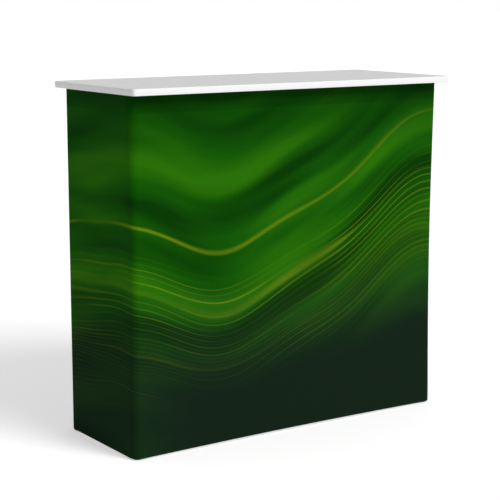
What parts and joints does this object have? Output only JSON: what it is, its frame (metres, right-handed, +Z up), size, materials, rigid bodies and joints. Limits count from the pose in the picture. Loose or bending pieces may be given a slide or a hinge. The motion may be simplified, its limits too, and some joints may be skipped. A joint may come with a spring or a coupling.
{
  "type": "exhibition counter",
  "caption": "Exhibition counter: flat worktop on a plug-together tube frame, a stretched printed cloth round front and sides, inner shelf, open back.",
  "frame": {"origin": "on the floor, under the middle of the worktop", "axes": "+Z up, +X to the right of someone facing the front, -Y out of the printed front, +Y out of the open back"},
  "size_m": [1.074, 0.445, 1],
  "materials": {
    "white_melamine": "board with a satin white melamine face",
    "white_edging": "smooth extruded edging",
    "printed_cloth": "printed polyester knit, matt, greens",
    "anodised_aluminium": "natural satin anodised",
    "black_nylon": "moulded, fine texture",
    "spring_steel": "bright",
    "black_rubber": "matt",
    "hook_tape": "woven tape with hooks, matt"
  },
  "bodies": {
    "frame": {"textile_cover": "printed_cloth", "top_connector_front_left": "black_nylon", "top_connector_front_right": "black_nylon", "top_connector_rear_left": "black_nylon", "top_connector_rear_right": "black_nylon", "bottom_connector_front_left": "black_nylon", "bottom_connector_front_right": "black_nylon", "bottom_connector_rear_left": "black_nylon", "bottom_connector_rear_right": "black_nylon", "top_rail_front": "anodised_aluminium", "top_rail_rear": "anodised_aluminium", "top_rail_left": "anodised_aluminium", "top_rail_right": "anodised_aluminium", "bottom_rail_front": "anodised_aluminium", "bottom_rail_rear": "anodised_aluminium", "bottom_rail_left": "anodised_aluminium", "bottom_rail_right": "anodised_aluminium", "post_lower_front_left": "anodised_aluminium", "post_lower_front_right": "anodised_aluminium", "post_lower_rear_left": "anodised_aluminium", "post_lower_rear_right": "anodised_aluminium", "post_upper_front_left": "anodised_aluminium", "post_upper_front_right": "anodised_aluminium", "post_upper_rear_left": "anodised_aluminium", "post_upper_rear_right": "anodised_aluminium", "post_joiner_front_left": "anodised_aluminium", "post_joiner_front_right": "anodised_aluminium", "post_joiner_rear_left": "anodised_aluminium", "post_joiner_rear_right": "anodised_aluminium", "shelf_bracket_front_left": "black_nylon", "shelf_bracket_front_right": "black_nylon", "shelf_bracket_rear_left": "black_nylon", "shelf_bracket_rear_right": "black_nylon", "hook_tape_top_front": "hook_tape", "hook_tape_top_left": "hook_tape", "hook_tape_top_right": "hook_tape", "hook_tape_bottom_front": "hook_tape", "hook_tape_bottom_left": "hook_tape", "hook_tape_bottom_right": "hook_tape", "hook_tape_post_left": "hook_tape", "hook_tape_post_right": "hook_tape"},
    "worktop": {"worktop_panel": "white_melamine", "worktop_edge_band": "white_edging", "locating_peg_front_left": "black_nylon", "locating_peg_front_right": "black_nylon", "locating_peg_rear_left": "black_nylon", "locating_peg_rear_right": "black_nylon"},
    "shelf": {"shelf_panel": "white_melamine"},
    "foot_front_left": {"levelling_foot_front_left": "black_rubber"},
    "foot_front_right": {"levelling_foot_front_right": "black_rubber"},
    "foot_rear_left": {"levelling_foot_rear_left": "black_rubber"},
    "foot_rear_right": {"levelling_foot_rear_right": "black_rubber"},
    "catch_front_left": {"post_catch_front_left": "spring_steel"},
    "catch_front_right": {"post_catch_front_right": "spring_steel"},
    "catch_rear_left": {"post_catch_rear_left": "spring_steel"},
    "catch_rear_right": {"post_catch_rear_right": "spring_steel"}
  },
  "joints": [
    {"name": "worktop_lift_off", "type": "slide", "parent": "frame", "child": "worktop", "axis": [0, 0, 1], "range_m": [0, 0.05]},
    {"name": "shelf_pull_out", "type": "slide", "parent": "frame", "child": "shelf", "axis": [0, 1, 0], "range_m": [0, 0.365]},
    {"name": "foot_screw_front_left", "type": "slide", "parent": "frame", "child": "foot_front_left", "axis": [0, 0, -1], "range_m": [0, 0.01]},
    {"name": "foot_screw_front_right", "type": "slide", "parent": "frame", "child": "foot_front_right", "axis": [0, 0, -1], "range_m": [0, 0.01]},
    {"name": "foot_screw_rear_left", "type": "slide", "parent": "frame", "child": "foot_rear_left", "axis": [0, 0, -1], "range_m": [0, 0.01]},
    {"name": "foot_screw_rear_right", "type": "slide", "parent": "frame", "child": "foot_rear_right", "axis": [0, 0, -1], "range_m": [0, 0.01]},
    {"name": "catch_press_front_left", "type": "slide", "parent": "frame", "child": "catch_front_left", "axis": [0, -1, 0], "range_m": [0, 0.0043], "stiffness_N_per_m": 2000},
    {"name": "catch_press_front_right", "type": "slide", "parent": "frame", "child": "catch_front_right", "axis": [0, -1, 0], "range_m": [0, 0.0043], "stiffness_N_per_m": 2000},
    {"name": "catch_press_rear_left", "type": "slide", "parent": "frame", "child": "catch_rear_left", "axis": [0, 1, 0], "range_m": [0, 0.0043], "stiffness_N_per_m": 2000},
    {"name": "catch_press_rear_right", "type": "slide", "parent": "frame", "child": "catch_rear_right", "axis": [0, 1, 0], "range_m": [0, 0.0043], "stiffness_N_per_m": 2000}
  ]
}
